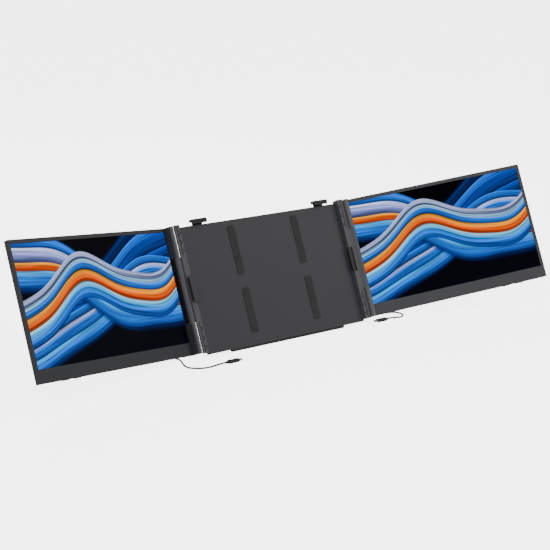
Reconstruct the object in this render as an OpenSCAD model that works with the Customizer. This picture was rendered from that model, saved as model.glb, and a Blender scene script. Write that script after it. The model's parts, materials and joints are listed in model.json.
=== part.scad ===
// Laptop screen extender: a frame that hangs behind a laptop's lid and stands on
// its own foot and kickstand, with one hinged 15.6 inch screen on each side.
// Millimetres. The desk is z = 0, the user sits on the -y side.
// Most of it is drawn upright in the frame's own axes (x across, y backwards,
// z up the lid) and then leaned back as one.

/* [Display] */
// Width of each screen's picture
active_w = 344.2; // [300:0.1:345]
// Height of each screen's picture
active_h = 193.6; // [170:0.1:215]
// Bezel beside the picture at the free end
bezel_outer = 6; // [4:0.5:6.5]
// Bezel beside the picture at the hinge
bezel_hinge = 13.2; // [12.8:0.1:13.6]
// Bezel above the picture
bezel_top = 6.5; // [3.5:0.5:12]
// Chin below the picture
chin_h = 22; // [22:0.5:32]
// Corner radius of the screen housing
corner_r = 3; // [2:0.5:6]

/* [Screen build-up] */
// Overall thickness of a screen
screen_t = 8; // [7.8:0.1:9.6]
// Thickness of the front bezel
bezel_t = 1.2; // [0.8:0.1:1.6]
// Wall of the rear cover
wall_t = 1.4; // [1:0.1:1.8]
// Thickness of the display glass
glass_t = 1; // [0.7:0.1:1.2]
// Thickness of the backlight
backlight_t = 2.2; // [1.6:0.1:2.6]
// Chamfer along the back edges of a screen
back_chamfer = 2; // [0.5:0.1:2.2]
// Thickness of a circuit board
board_t = 1; // [0.8:0.1:1.2]

/* [Hinges] */
// Distance of each hinge axis from the middle of the frame
hinge_x = 183.7; // [183.2:0.1:190]
// Depth of the left hinge axis behind the datum plane
hinge_y_left = 10; // [9:0.1:12]
// How far the right hinge axis stands in front of the left one
stack_step = 10; // [9.6:0.1:12]
// Depth of a screen's front face behind its hinge axis
face_drop = 9.8; // [9:0.1:10.5]
// Distance from the hinge axis to the housing's edge, which reaches behind the barrels
edge_gap = -5.8; // [-6:0.1:-5.4]
// Radius of the hinge barrels
barrel_r = 4.9; // [4:0.1:5]
// Height of the upper and lower knuckles
knuckle_h = 54; // [45:1:70]
// Gap between neighbouring barrels
split_gap = 0.6; // [0.4:0.1:1.2]
// Radius of a hinge pin
pin_r = 2.2; // [1.8:0.1:2.4]
// Wall of a hinge bushing
bush_t = 0.8; // [0.6:0.1:1]
// Radial running clearance of a hinge pin
pin_clear = 0.05; // [0.02:0.01:0.09]
// Length of pin in the middle barrel
pin_in = 14; // [10:1:20]
// Length of pin in a knuckle
pin_out = 40; // [25:1:42]
// Opening angle of the left screen, forward of flat
left_angle = 19.9; // [0:0.1:60]
// Opening angle of the right screen, forward of flat
right_angle = 19; // [0:0.1:60]

/* [Frame] */
// Lean of the frame, back from upright
lean = 24.6; // [20:0.1:30]
// Depth of the frame's front face behind the datum plane
plate_y = 9; // [8.6:0.1:9.4]
// Thickness of the frame's front plate
plate_t = 2; // [1.6:0.1:2.2]
// Depth of the space inside the frame
frame_inside = 5; // [4.6:0.1:6]
// Thickness of the frame's rear cover
cover_t = 1.6; // [1.4:0.1:2]
// Height of the frame's lower edge against the foot of the lid
frame_z0 = -13; // [-14:0.5:-10]
// Height of the frame's top edge
frame_z1 = 210; // [205:0.5:215]
// Inner face of the side posts, from the middle
post_x0 = 166; // [165:0.1:168]
// Width of a side post
post_w = 10.7; // [10.5:0.1:11.5]
// Depth of the left post's front face behind the datum plane
post_y_left = 8.75; // [8.5:0.05:8.9]
// Depth of the right post's front face behind the datum plane
post_y_right = 0.9; // [0.7:0.1:1.6]
// How far the posts stand past the screens at each end
post_over = 1.3; // [0.5:0.1:3]
// Height of the screens' lower edge against the foot of the lid
screen_z0 = -8.5; // [-9.5:0.1:-7]
// Thickness of the rubber foot at its thinnest
foot_t = 1.2; // [1:0.1:3]
// Length of the rubber foot
foot_l = 240; // [120:5:300]
// Thickness of the pads that the lid lies on
pad_t = 0.8; // [0.4:0.1:1]
// Radius of the screws' heads
screw_head_r = 2.3; // [2:0.1:2.6]
// Radius of the screws' shanks
screw_r = 1.25; // [1:0.05:1.4]

/* [Clips and clamps] */
// Width of a top clip
clip_w = 29; // [24:1:45]
// Distance of a top clip from the middle
clip_x = 129; // [120:1:136]
// Height of a top clip's upper face
clip_z1 = 220; // [218:0.1:222]
// Height of a top clip's front lip
clip_lip_h = 8.5; // [8:0.5:11]
// Thickness of the hooks' lips
lip_t = 1.6; // [1.2:0.1:1.7]
// Depth of the lips' front faces behind the datum plane
lip_y = 0.7; // [0.6:0.1:0.9]
// Height of a side clamp
clamp_h = 44; // [30:1:60]
// Height of a side clamp's middle
clamp_z = 102; // [95:1:110]
// Inner end of a side clamp's lip, from the middle
clamp_x0 = 163.5; // [162:0.1:165]
// Travel of a top clip
clip_travel = 12; // [8:1:14]
// Travel of a side clamp
clamp_travel = 3; // [2:0.1:3.2]
// Thickness of the clips' tongues
tongue_t = 2; // [1.6:0.1:2.2]

/* [Kickstand] */
// Width of the kickstand
kick_w = 150; // [100:5:160]
// Length of the kickstand from its pivot to its tip
kick_l = 110; // [106:1:112]
// Thickness of the kickstand
kick_t = 2.6; // [2:0.1:2.8]
// Height of the kickstand's pivot up the frame
kick_z = 100; // [95:1:104]
// Radius of the kickstand's pivot pins
kick_pin_r = 1; // [0.8:0.1:1.2]

/* [Controls and ports] */
// Width of the port bay in a screen's lower edge
bay_w = 56; // [52:1:70]
// Distance from the hinge axis to the port bay
bay_x = 28; // [24:1:40]
// Height of the port bay
bay_h = 12; // [11.5:0.1:12.5]
// Travel of a push button
press = 0.6; // [0.4:0.1:0.8]
// Length of a push button's cap
button_l = 14; // [8:1:20]
// Thickness of a push button's cap
button_w = 2.6; // [2:0.1:3]
// Distance from a screen's free end to the power button
power_in = 58; // [34:1:100]
// Distance between the two buttons
button_pitch = 26; // [22:1:34]

/* [Cords] */
// Diameter of the cords
cord_d = 3; // [2.8:0.1:3.2]
// Thickness of a plug's moulded body
plug_t = 5.6; // [5.2:0.1:5.7]

/* [Hidden] */

// Small gap between pieces that only lie beside each other
fit = 0.2;
// Overshoot of cuts
cut = 1;
// Sides of round shapes
$fn = 48;

// Screen housing, in its hinge's axes: x away from the hinge, y backwards
picture_x0 = edge_gap + bezel_hinge;
picture_x1 = picture_x0 + active_w;
picture_z0 = screen_z0 + chin_h;
picture_z1 = picture_z0 + active_h;
screen_x1 = picture_x1 + bezel_outer;
screen_z1 = picture_z1 + bezel_top;
screen_y0 = face_drop;
screen_y1 = face_drop + screen_t;
floor_y = screen_y1 - wall_t;

// Frame
hinge_y_right = hinge_y_left - stack_step;
inside_y = plate_y + plate_t;
cover_y = inside_y + frame_inside;
back_y = cover_y + cover_t;
post_x1 = post_x0 + post_w;
post_z0 = screen_z0 - post_over;
post_z1 = screen_z1 + post_over;
post_back = cover_y;
post_bevel = 4;
knuckle_gap = 0.4;
web_in = 3;
web_t = 3.2;
bush_r = pin_r + pin_clear + bush_t;

// Stand on the desk
stand_z = foot_t + back_y * sin(lean) - frame_z0 * cos(lean);
foot_y = (plate_y + back_y) / 2;
stand_y = -(foot_y * cos(lean) + frame_z0 * sin(lean));

// Kickstand
kick_pivot_y = cover_y - 0.4;
tip_r = 2;
tip_inset = 10;
kick_pin_l = 12;
kick_bore_l = 12;
kick_pivot_h = stand_z - kick_pivot_y * sin(lean) + kick_z * cos(lean);
// A kickstand too short to reach the desk hangs straight down
kick_open = lean + acos(min(1, (kick_pivot_h - tip_r) / (kick_l - tip_r)));

// Clips
tongue_y = inside_y + 0.3;
clip_tongue_w = 20;
clip_tongue_z0 = 150;
clip_spring_l = 26.5;
clamp_tongue_x0 = 138;
clamp_tongue_h = 20;
clamp_spring_l = 24.5;
anchor_r = 1.5;
guide_t = 1.6;
guide_inset = 4;
clamp_guide_in = 22;
clamp_guide_out = 18;
clamp_wall = 4;
clamp_neck_x0 = post_x0 + 1.6;
clamp_neck_w = 2.4;
spring_r = 1.9;
spring_wire = 0.5;

// Port bay
bay_floor_y = screen_y0 + bezel_t + 0.8;
bay_top_z = screen_z0 + bay_h;
bay_roof = 1.2;
plug_y = bay_floor_y + 0.15 + 2.8;
socket_in = 14;
socket_pitch = 28;
socket_x = [bay_x + socket_in, bay_x + socket_in + socket_pitch];
socket_w = 8.94;
socket_h = 3.26;
socket_l = 7;
socket_wall = 0.3;

// Inside a screen
glass_y = screen_y0 + bezel_t;
light_y = glass_y + glass_t;
light_back = light_y + backlight_t;
glass_lap = 1.5;
board_y = plug_y - socket_h / 2 - board_t;
board_z0 = bay_top_z + bay_roof + 0.3;
board_z1 = picture_z0 - glass_lap - 0.5;
screw_z = screen_z0 + 6.5;
screw_in = 12;
hinge_screw_in = 8.7;
bay_screws = [24, 104];
screw_x = [picture_x0 + hinge_screw_in, bay_x + bay_w + bay_screws[0], bay_x + bay_w + bay_screws[1],
           screen_x1 - screw_in];
button_y = (glass_y + floor_y) / 2;
button_x = [screen_x1 - power_in, screen_x1 - power_in - button_pitch];
button_out = 0.8;
rib_inset = 20;
cavity_x0 = barrel_r + fit / 2;
seam = 0.05;
standoff_by = 16;
standoff_r = 2;
standoff_x = [screw_x[1] + standoff_by, screw_x[2] + standoff_by, (button_x[0] + button_x[1]) / 2];
board_x0 = 12;
board_past = 12;
// Chips and connectors on the driver board: place along it, width and height
chips = [[92, 6, 5], [104, 9, 5.4], [142, 14, 4], [164, 8, 5], [176, 5, 3], [214, 22, 3]];
chip_t = 1.1;

// Plugs and cords
plug_h = 10;
plug_back = 5.5;
plug_front = 7;
relief_l = 6;
relief_r = 2.4;
cord_z = screen_z0 + 4.4;
shell_w = 8;
shell_h = 2.3;
shell_l = 6.2;
plug_l = 20;

// ---------------------------------------------------------------- placing

module leaned() translate([0, stand_y, stand_z]) rotate([-lean, 0, 0]) children();

// side 0 is the left, side 1 the right
module sided(side) mirror([side == 0 ? 1 : 0, 0, 0]) children();

// A screen's own axes, at its opening angle
module on_hinge(side)
  leaned() sided(side)
    translate([hinge_x, side == 0 ? hinge_y_left : hinge_y_right, 0])
      rotate([0, 0, side == 0 ? -left_angle : -right_angle]) children();

module on_frame(side) leaned() sided(side) children();

// ---------------------------------------------------------------- shapes

module block(a, b) translate(a) cube(b - a);

// Plate in the x-z plane with round corners, from y0 to y1
module round_plate(x0, x1, z0, z1, y0, y1, r)
  translate([0, y1, 0]) rotate([90, 0, 0]) linear_extrude(y1 - y0) {
    translate([x0 + r, z0]) square([x1 - x0 - 2 * r, z1 - z0]);
    translate([x0, z0 + r]) square([x1 - x0, z1 - z0 - 2 * r]);
    for (x = [x0 + r, x1 - r], z = [z0 + r, z1 - r]) translate([x, z]) circle(r);
  }

module rod_y(x, z, y0, y1, r) translate([x, y1, z]) rotate([90, 0, 0]) cylinder(h = y1 - y0, r = r);

// Slot with round ends in the x-y plane, along z
module flat_tube(w, t, h, wall) {
  difference() {
    flat_bar(w, t, h);
    translate([0, 0, -cut]) flat_bar(w - 2 * wall, t - 2 * wall, h + 2 * cut);
  }
}

module flat_bar(w, t, h)
  linear_extrude(h) {
    square([w - t, t], center = true);
    for (s = [-1, 1]) translate([s * (w - t) / 2, 0]) circle(t / 2);
  }

// Close-wound spring of length l along z, drawn as a stack of touching turns
module coil(l) {
  turns = floor(l / (1.8 * spring_wire));
  pitch = (l - 2 * spring_wire) / (turns - 1);
  rotate_extrude()
    for (i = [0 : turns - 1])
      translate([spring_r - spring_wire, spring_wire + i * pitch]) circle(spring_wire, $fn = 16);
}

// ---------------------------------------------------------------- frame

// Places of the rear cover's screws, for one half of the frame
post_screw_in = 8;
post_screw_z = [10, 62, 142, 198];
post_screws = [for (z = post_screw_z) [post_x0 - post_screw_in, z]];
tray_screws = [[100, 4], [100, 128], [48, 198]];
boss_r = 2.8;
screw_head_t = 0.9;

// Rubber pads, for one half of the frame
pad_x0 = 60;
pad_x1 = 74;
pad_z = [[8, 88], [112, 200]];

// Kickstand's pocket in the frame's back
pocket_hw = kick_w / 2 + 0.5;
pocket_floor = kick_pivot_y - tip_r - 0.3;
pocket_wall = 1.2;
knuckle_r = 1.8;
pocket_top = kick_z + knuckle_r + 0.5;

module both() for (side = [0, 1]) on_frame(side) children();

module boss(x, z, y0, y1)
  difference() {
    rod_y(x, z, y0, y1, boss_r);
    rod_y(x, z, y0 + 0.6, y1 + cut, screw_r + 0.05);
  }

module frame_tray()
  color("#3a3b3d") {
    leaned() difference() {
      union() {
        block([-post_x0, plate_y, frame_z0], [post_x0, inside_y, frame_z1]);
        block([-post_x0, inside_y, frame_z0], [post_x0, cover_y, frame_z0 + 2]);
        block([-post_x0, inside_y, frame_z1 - 2], [post_x0, cover_y, frame_z1]);
      }
      // room for the kickstand's pocket
      block([-pocket_hw - wall_t - fit, pocket_floor - pocket_wall - fit, frame_z0 - cut],
            [pocket_hw + wall_t + fit, cover_y + cut, frame_z0 + 2 + cut]);
      for (s = [-1, 1]) translate([s * clip_x, 0, 0])
        block([-clip_tongue_w / 2 - fit, tongue_y - fit, frame_z1 - 2 - cut],
              [clip_tongue_w / 2 + fit, tongue_y + tongue_t + fit, frame_z1 + cut]);
    }
    both() {
      for (p = tray_screws) boss(p[0], p[1], inside_y, cover_y);
      // guides and spring anchors
      for (s = [-1, 1]) translate([clip_x + s * (clip_tongue_w / 2 + fit + guide_t / 2), 0, 0])
        block([-guide_t / 2, inside_y, clip_tongue_z0 + guide_inset],
              [guide_t / 2, cover_y, frame_z1 - wall_t]);
      rod_y(clip_x, clip_tongue_z0 - clip_spring_l - anchor_r, inside_y, cover_y, anchor_r);
      for (s = [-1, 1]) translate([0, 0, clamp_z + s * (clamp_tongue_h / 2 + fit + guide_t / 2)])
        block([clamp_tongue_x0 - clamp_guide_in, inside_y, -guide_t / 2],
              [post_x0 - clamp_guide_out, cover_y, guide_t / 2]);
      rod_y(clamp_tongue_x0 - clamp_spring_l - anchor_r, clamp_z, inside_y, cover_y, anchor_r);
    }
  }

module frame_rear_cover()
  color("#2f3032") leaned() difference() {
    union() {
      block([-post_x0, cover_y, frame_z0], [post_x0, back_y, frame_z1]);
      block([-pocket_hw - wall_t, pocket_floor - pocket_wall, frame_z0],
            [pocket_hw + wall_t, cover_y, pocket_top + wall_t]);
    }
    block([-pocket_hw, pocket_floor, frame_z0 - cut], [pocket_hw, back_y + cut, pocket_top]);
    translate([0, kick_pivot_y, kick_z]) rotate([0, 90, 0])
      cylinder(h = 2 * (pocket_hw + wall_t + cut), r = kick_pin_r + pin_clear, center = true);
    for (s = [-1, 1], p = concat(post_screws, tray_screws)) {
      rod_y(s * p[0], p[1], cover_y - cut, back_y + cut, screw_r + 0.15);
      rod_y(s * p[0], p[1], back_y - screw_head_t, back_y + cut, screw_head_r + 0.15);
    }
  }

// Middle barrel of a hinge, between the screen's two knuckles
barrel_z0 = screen_z0 + knuckle_h + split_gap;
barrel_z1 = screen_z1 - knuckle_h - split_gap;

function post_face(side) = side == 0 ? post_y_left : post_y_right;
function axis_y(side) = side == 0 ? hinge_y_left : hinge_y_right;
// Outer side of a clamp's hook, and the depth where the hook ends
function clamp_x1(side) = side == 0 ? post_x1 - 1.7 : post_x0 + clamp_wall + 0.4;
clamp_y1 = plate_y - 0.5;

// Zigzag cut into the post's face beside the knuckles
module post_grooves(side) {
  groove = 0.8;
  line_w = 1.1;
  y = post_face(side);
  mid = post_x0 + post_w * 0.55;
  inner = post_x0 + 1;
  for (z0 = [screen_z0 + 1, screen_z1 - knuckle_h + 1]) {
    block([mid - line_w / 2, y - cut, z0], [mid + line_w / 2, y + groove, z0 + knuckle_h - 2]);
    for (z = [8 : 16 : knuckle_h - 10], a = [-40, 40])
      translate([inner, y, z0 + z]) rotate([0, a, 0])
        block([0, -cut, -line_w / 2], [(mid - inner) / cos(a), groove, line_w / 2]);
  }
}

module post(side)
  color("#46474a") on_frame(side) {
    y0 = post_face(side);
    ya = axis_y(side);
    flange_gap = clamp_tongue_h / 2 + 3;
    // the right post's front part reaches close to the knuckles
    face_x1 = side == 0 ? post_x1 : hinge_x - barrel_r - knuckle_gap;
    step_y = side == 0 ? y0 + 1 : ya + face_drop - 1.5 * knuckle_gap;
    difference() {
      union() {
        translate([0, 0, post_z0]) linear_extrude(post_z1 - post_z0)
          polygon([[post_x0, y0], [face_x1 - 1, y0], [face_x1, y0 + 1], [face_x1, step_y],
                   [post_x1, step_y + 0.1], [post_x1, post_back - post_bevel],
                   [post_x1 - post_bevel, post_back], [post_x0, post_back]]);
        // web and middle barrel
        translate([0, 0, barrel_z0]) linear_extrude(barrel_z1 - barrel_z0)
          polygon(side == 0
            ? [[post_x1 - web_in, ya + 1], [hinge_x - 2, ya + 1], [hinge_x - 2, ya + 1 + web_t],
               [post_x1 - web_in, ya + 1 + web_t]]
            : [[post_x1 - 1.5, y0], [hinge_x - 1.2, ya - 0.95 * barrel_r], [hinge_x, ya + 3],
               [post_x1 - 1, ya + 6]]);
        translate([hinge_x, ya, barrel_z0]) cylinder(h = barrel_z1 - barrel_z0, r = barrel_r);
        // flange inside the frame, in two lengths beside the clamp's tongue
        for (r = [[frame_z0 + 3, clamp_z - flange_gap], [clamp_z + flange_gap, frame_z1 - 3]])
          block([post_x0 - 14, inside_y, r[0]], [post_x0, inside_y + 1.5, r[1]]);
        for (p = post_screws) rod_y(p[0], p[1], inside_y, cover_y, boss_r);
      }
      for (p = post_screws) rod_y(p[0], p[1], inside_y + 0.6, cover_y + cut, screw_r + 0.05);
      for (z = [barrel_z0 - cut, barrel_z1 - pin_in - 1])
        translate([hinge_x, ya, z]) cylinder(h = pin_in + 1 + cut, r = bush_r + 0.03);
      // slot for the clamp's neck and tongue
      translate([0, 0, clamp_z - clamp_tongue_h / 2 - fit]) {
        block([clamp_neck_x0 - fit, y0 - cut, 0],
              [clamp_neck_x0 + clamp_neck_w + clamp_travel + fit, tongue_y + tongue_t + fit,
               clamp_tongue_h + 2 * fit]);
        block([post_x0 - cut, tongue_y - fit, 0],
              [clamp_neck_x0, tongue_y + tongue_t + fit, clamp_tongue_h + 2 * fit]);
      }
      if (side == 1)
        block([post_x0 - cut, y0 - cut, clamp_z - clamp_h / 2 - 0.4],
              [clamp_x1(1) + clamp_travel + fit, clamp_y1 + fit, clamp_z + clamp_h / 2 + 0.4]);
      post_grooves(side);
    }
  }

module left_post() post(0);
module right_post() post(1);

module frame_pads()
  color("#161617") both()
    for (z = pad_z) round_plate(pad_x0, pad_x1, z[0], z[1], plate_y - pad_t, plate_y, 3);

module screw(x, z, y0, y1, head = screw_head_t) {
  rod_y(x, z, y1 - head, y1, screw_head_r);
  rod_y(x, z, y0, y1 - head, screw_r);
}

module frame_screws()
  color("#1d1d1f") both()
    for (p = concat(post_screws, tray_screws)) screw(p[0], p[1], inside_y + 1, back_y);

// Point of the leaned frame on the desk's own axes, [y, z]
function desk(y, z) = [y * cos(lean) + z * sin(lean) + stand_y,
                       -y * sin(lean) + z * cos(lean) + stand_z];

module foot_strip()
  color("#141415")
    translate([-foot_l / 2, 0, 0]) rotate([90, 0, 90]) linear_extrude(foot_l)
      polygon([desk(plate_y, frame_z0), desk(back_y, frame_z0),
               [desk(back_y, frame_z0)[0], 0], [desk(plate_y, frame_z0)[0], 0]]);

// ---------------------------------------------------------------- clips and clamps

clip_top_t = 4;
clip_round = 3;

module top_clip(side)
  color("#202123") on_frame(side) {
    x0 = clip_x - clip_w / 2;
    x1 = clip_x + clip_w / 2;
    difference() {
      union() {
        round_plate(x0, x1, clip_z1 - clip_lip_h, clip_z1, lip_y, lip_y + lip_t, 1.2);
        block([x0, lip_y + lip_t, clip_z1 - clip_top_t], [x1, tongue_y + tongue_t, clip_z1]);
      }
      // rounded upper front edge
      translate([x0 - cut, lip_y, clip_z1]) rotate([90, 0, 90]) linear_extrude(clip_w + 2 * cut)
        difference() {
          translate([-cut, -clip_round]) square(clip_round + cut);
          translate([clip_round, -clip_round]) circle(clip_round);
        }
    }
    block([clip_x - clip_tongue_w / 2, tongue_y, clip_tongue_z0],
          [clip_x + clip_tongue_w / 2, tongue_y + tongue_t, clip_z1 - clip_top_t]);
  }

module left_top_clip() top_clip(0);
module right_top_clip() top_clip(1);

module side_clamp(side)
  color(side == 0 ? "#3c3d40" : "#19191a") on_frame(side) {
    z0 = clamp_z - clamp_h / 2;
    z1 = clamp_z + clamp_h / 2;
    round_plate(clamp_x0, clamp_x1(side), z0, z1, lip_y, lip_y + lip_t, 2);
    block([post_x0 + 0.4, lip_y + lip_t, z0 + 2], [clamp_x1(side), clamp_y1, z1 - 2]);
    translate([0, 0, clamp_z - clamp_tongue_h / 2]) {
      block([clamp_neck_x0, clamp_y1, 0],
            [clamp_neck_x0 + clamp_neck_w, tongue_y + tongue_t, clamp_tongue_h]);
      block([clamp_tongue_x0, tongue_y, 0], [clamp_neck_x0, tongue_y + tongue_t, clamp_tongue_h]);
    }
  }

module left_side_clamp() side_clamp(0);
module right_side_clamp() side_clamp(1);

spring_y = inside_y + frame_inside / 2;

module clip_spring(side)
  color("silver") on_frame(side)
    translate([clip_x, spring_y, clip_tongue_z0 - clip_spring_l]) coil(clip_spring_l);

module clamp_spring(side)
  color("silver") on_frame(side)
    translate([clamp_tongue_x0 - clamp_spring_l, spring_y, clamp_z])
      rotate([0, 90, 0]) coil(clamp_spring_l);

module left_clip_spring() clip_spring(0);
module right_clip_spring() clip_spring(1);
module left_clamp_spring() clamp_spring(0);
module right_clamp_spring() clamp_spring(1);

// ---------------------------------------------------------------- kickstand

module on_kick() leaned() translate([0, kick_pivot_y, kick_z]) rotate([kick_open, 0, 0]) children();

module kickstand()
  color("#333437") on_kick() difference() {
    union() {
      rotate([0, 90, 0]) cylinder(h = kick_w, r = knuckle_r, center = true);
      round_plate(-kick_w / 2, kick_w / 2, -kick_l + 2 * tip_r, 0, -kick_t / 2, kick_t / 2, 1);
    }
    for (s = [-1, 1]) translate([s * kick_w / 2, 0, 0]) rotate([0, 90, 0])
      cylinder(h = 2 * kick_bore_l, r = kick_pin_r + pin_clear, center = true);
  }

module kickstand_pins()
  color("silver") leaned()
    for (s = [-1, 1]) translate([s * (pocket_hw + wall_t - kick_pin_l / 2), kick_pivot_y, kick_z])
      rotate([0, 90, 0]) cylinder(h = kick_pin_l, r = kick_pin_r, center = true);

module kickstand_tip()
  color("#141415") on_kick() {
    w = kick_w - 2 * tip_inset;
    translate([0, 0, tip_r - kick_l]) rotate([0, 90, 0]) cylinder(h = w, r = tip_r, center = true);
    block([-w / 2, -kick_t / 2, tip_r - kick_l], [w / 2, kick_t / 2, 2 * tip_r - kick_l]);
  }

// ---------------------------------------------------------------- hinge hardware

module hinge_bushings(side)
  color("#b08d4c") on_frame(side)
    for (z = [barrel_z0, barrel_z1 - pin_in]) translate([hinge_x, axis_y(side), z])
      difference() {
        cylinder(h = pin_in, r = bush_r);
        translate([0, 0, -cut]) cylinder(h = pin_in + 2 * cut, r = pin_r + pin_clear);
      }

module left_hinge_bushings() hinge_bushings(0);
module right_hinge_bushings() hinge_bushings(1);

module hinge_pins(side)
  color("#9a9a9e") on_hinge(side) {
    l = pin_out + split_gap + pin_in - 0.6;
    translate([0, 0, screen_z0 + knuckle_h - pin_out + 0.3]) cylinder(h = l, r = pin_r);
    translate([0, 0, barrel_z1 - pin_in + 0.3]) cylinder(h = l, r = pin_r);
  }

module left_hinge_pins() hinge_pins(0);
module right_hinge_pins() hinge_pins(1);

// ---------------------------------------------------------------- screens

// Both knuckles of a screen, with the plates that join them to its housing
module knuckles()
  for (z = [screen_z0, screen_z1 - knuckle_h]) {
    translate([0, 0, z]) cylinder(h = knuckle_h, r = barrel_r);
    block([0, 0, z], [barrel_r, screen_y1, z + knuckle_h]);
  }

// Cuts along a housing's back edges: level ones at height z, facing s, and the free end's
module level_chamfer(z, s)
  translate([barrel_r, 0, 0]) rotate([90, 0, 90]) linear_extrude(screen_x1)
    polygon([[screen_y1 + 0.1, z - s * (back_chamfer + 0.1)], [screen_y1 + 0.1, z + s * 0.1],
             [screen_y1 - back_chamfer - 0.1, z + s * 0.1]]);

module end_chamfer()
  translate([0, 0, screen_z0 - cut]) linear_extrude(screen_z1 - screen_z0 + 2 * cut)
    polygon([[screen_x1 + 0.1, screen_y1 - back_chamfer - 0.1],
             [screen_x1 + 0.1, screen_y1 + 0.1], [screen_x1 - back_chamfer - 0.1, screen_y1 + 0.1]]);

module rear_cover(side)
  color(side == 0 ? "#303133" : "#36373a") on_hinge(side) difference() {
    union() {
      difference() {
        union() {
          round_plate(edge_gap, screen_x1, screen_z0, screen_z1, glass_y, screen_y1, corner_r);
          knuckles();
        }
        round_plate(cavity_x0, screen_x1 - wall_t, screen_z0 + wall_t, screen_z1 - wall_t,
                    glass_y - cut, floor_y, corner_r - 1);
        // channel behind the middle barrel
        block([edge_gap + wall_t, glass_y - cut, screen_z0 + knuckle_h + wall_t],
              [cavity_x0 + cut, floor_y, screen_z1 - knuckle_h - wall_t]);
      }
      for (x = screw_x) rod_y(x, screw_z, floor_y - 1.2, floor_y + 0.1, boss_r);
    }
    block([bay_x - wall_t - seam, glass_y - cut, screen_z0 - cut],
          [bay_x + bay_w + wall_t + seam, screen_y1 + cut, bay_top_z + bay_roof + seam]);
    for (x = button_x) block([x - button_l / 2 - fit, button_y - button_w / 2 - fit, screen_z0 - cut],
                             [x + button_l / 2 + fit, button_y + button_w / 2 + fit, screen_z0 + 2]);
    for (x = screw_x) {
      rod_y(x, screw_z, floor_y - 2, screen_y1 + cut, screw_r + 0.15);
      rod_y(x, screw_z, screen_y1 - screw_head_t, screen_y1 + cut, screw_head_r + 0.15);
    }
    level_chamfer(screen_z1, 1);
    level_chamfer(screen_z0, -1);
    end_chamfer();
    for (z = [screen_z0 + knuckle_h - pin_out, screen_z1 - knuckle_h - cut])
      translate([0, 0, z]) cylinder(h = pin_out + cut, r = pin_r + 0.02);
  }

module left_rear_cover() rear_cover(0);
module right_rear_cover() rear_cover(1);

// Walls round the port bay, with the sockets' holes in its roof
module port_bay(side)
  color("#2a2b2d") on_hinge(side) difference() {
    block([bay_x - wall_t, glass_y, screen_z0],
          [bay_x + bay_w + wall_t, screen_y1, bay_top_z + bay_roof]);
    block([bay_x, bay_floor_y, screen_z0 - cut], [bay_x + bay_w, screen_y1 + cut, bay_top_z]);
    for (x = socket_x) translate([x, plug_y, bay_top_z - cut])
      flat_bar(socket_w + 0.1, socket_h + 0.1, bay_roof + 2 * cut);
    level_chamfer(screen_z0, -1);
  }

module left_port_bay() port_bay(0);
module right_port_bay() port_bay(1);

// Ribs behind the backlight and standoffs of the driver board
module inner_ribs(side)
  color("#2f3032") on_hinge(side) {
    for (k = [0.25, 0.5, 0.75])
      block([picture_x0 + rib_inset, light_back, picture_z0 + k * active_h],
            [picture_x1 - rib_inset, floor_y, picture_z0 + k * active_h + 1.2]);
    for (x = standoff_x)
      rod_y(x, (board_z0 + board_z1) / 2, board_y + board_t, floor_y, standoff_r);
  }

module left_inner_ribs() inner_ribs(0);
module right_inner_ribs() inner_ribs(1);

module front_bezel(side)
  color(side == 0 ? "#3b3c3f" : "#47484c") on_hinge(side) difference() {
    union() {
      round_plate(edge_gap, screen_x1, screen_z0, screen_z1, screen_y0, glass_y, corner_r);
      for (x = screw_x) boss(x, screw_z, glass_y, floor_y - 1.3);
    }
    block([picture_x0, screen_y0 - cut, picture_z0], [picture_x1, glass_y + cut, picture_z1]);
    for (z = [screen_z0 - cut, screen_z1 - knuckle_h - fit])
      block([-fit, screen_y0 - cut, z],
            [barrel_r + fit, glass_y + cut, z + knuckle_h + cut + fit]);
  }

module left_front_bezel() front_bezel(0);
module right_front_bezel() front_bezel(1);

// Sheet behind the bezel's window, lapping it all round
module sheet(y, t)
  block([picture_x0 - glass_lap, y, picture_z0 - glass_lap],
        [picture_x1 + glass_lap, y + t, picture_z1 + glass_lap]);

module display_glass(side) color("#0a0a12") on_hinge(side) sheet(glass_y, glass_t);
module left_display_glass() display_glass(0);
module right_display_glass() display_glass(1);

module backlight(side) color("#c9ccd1") on_hinge(side) sheet(light_y, backlight_t);
module left_backlight() backlight(0);
module right_backlight() backlight(1);

module driver_board(side)
  color("#1d5a38") on_hinge(side) {
    y1 = board_y + board_t;
    zm = (board_z0 + board_z1) / 2;
    block([board_x0, board_y, board_z0], [button_x[0] + board_past, y1, board_z1]);
    for (c = chips) block([c[0], y1, zm - c[2] / 2], [c[0] + c[1], y1 + chip_t, zm + c[2] / 2]);
    // switches over the push buttons
    for (x = button_x) {
      block([x - 3, y1, board_z0 + 0.4], [x + 3, y1 + 2, board_z0 + 4.4]);
      block([x - 1, y1 + 0.2, board_z0], [x + 1, y1 + 1.6, board_z0 + 0.4]);
    }
  }

module left_driver_board() driver_board(0);
module right_driver_board() driver_board(1);

module usb_sockets(side)
  color("#b9bbc0") on_hinge(side)
    for (x = socket_x) translate([x, plug_y, bay_top_z]) {
      flat_tube(socket_w, socket_h, socket_l, socket_wall);
      translate([0, 0, socket_l - 0.6])
        flat_bar(socket_w - 2 * socket_wall, socket_h - 2 * socket_wall, 0.6);
      block([-3.1, -0.35, 0.8], [3.1, 0.35, socket_l - 0.6]);
    }

module left_usb_sockets() usb_sockets(0);
module right_usb_sockets() usb_sockets(1);

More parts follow.
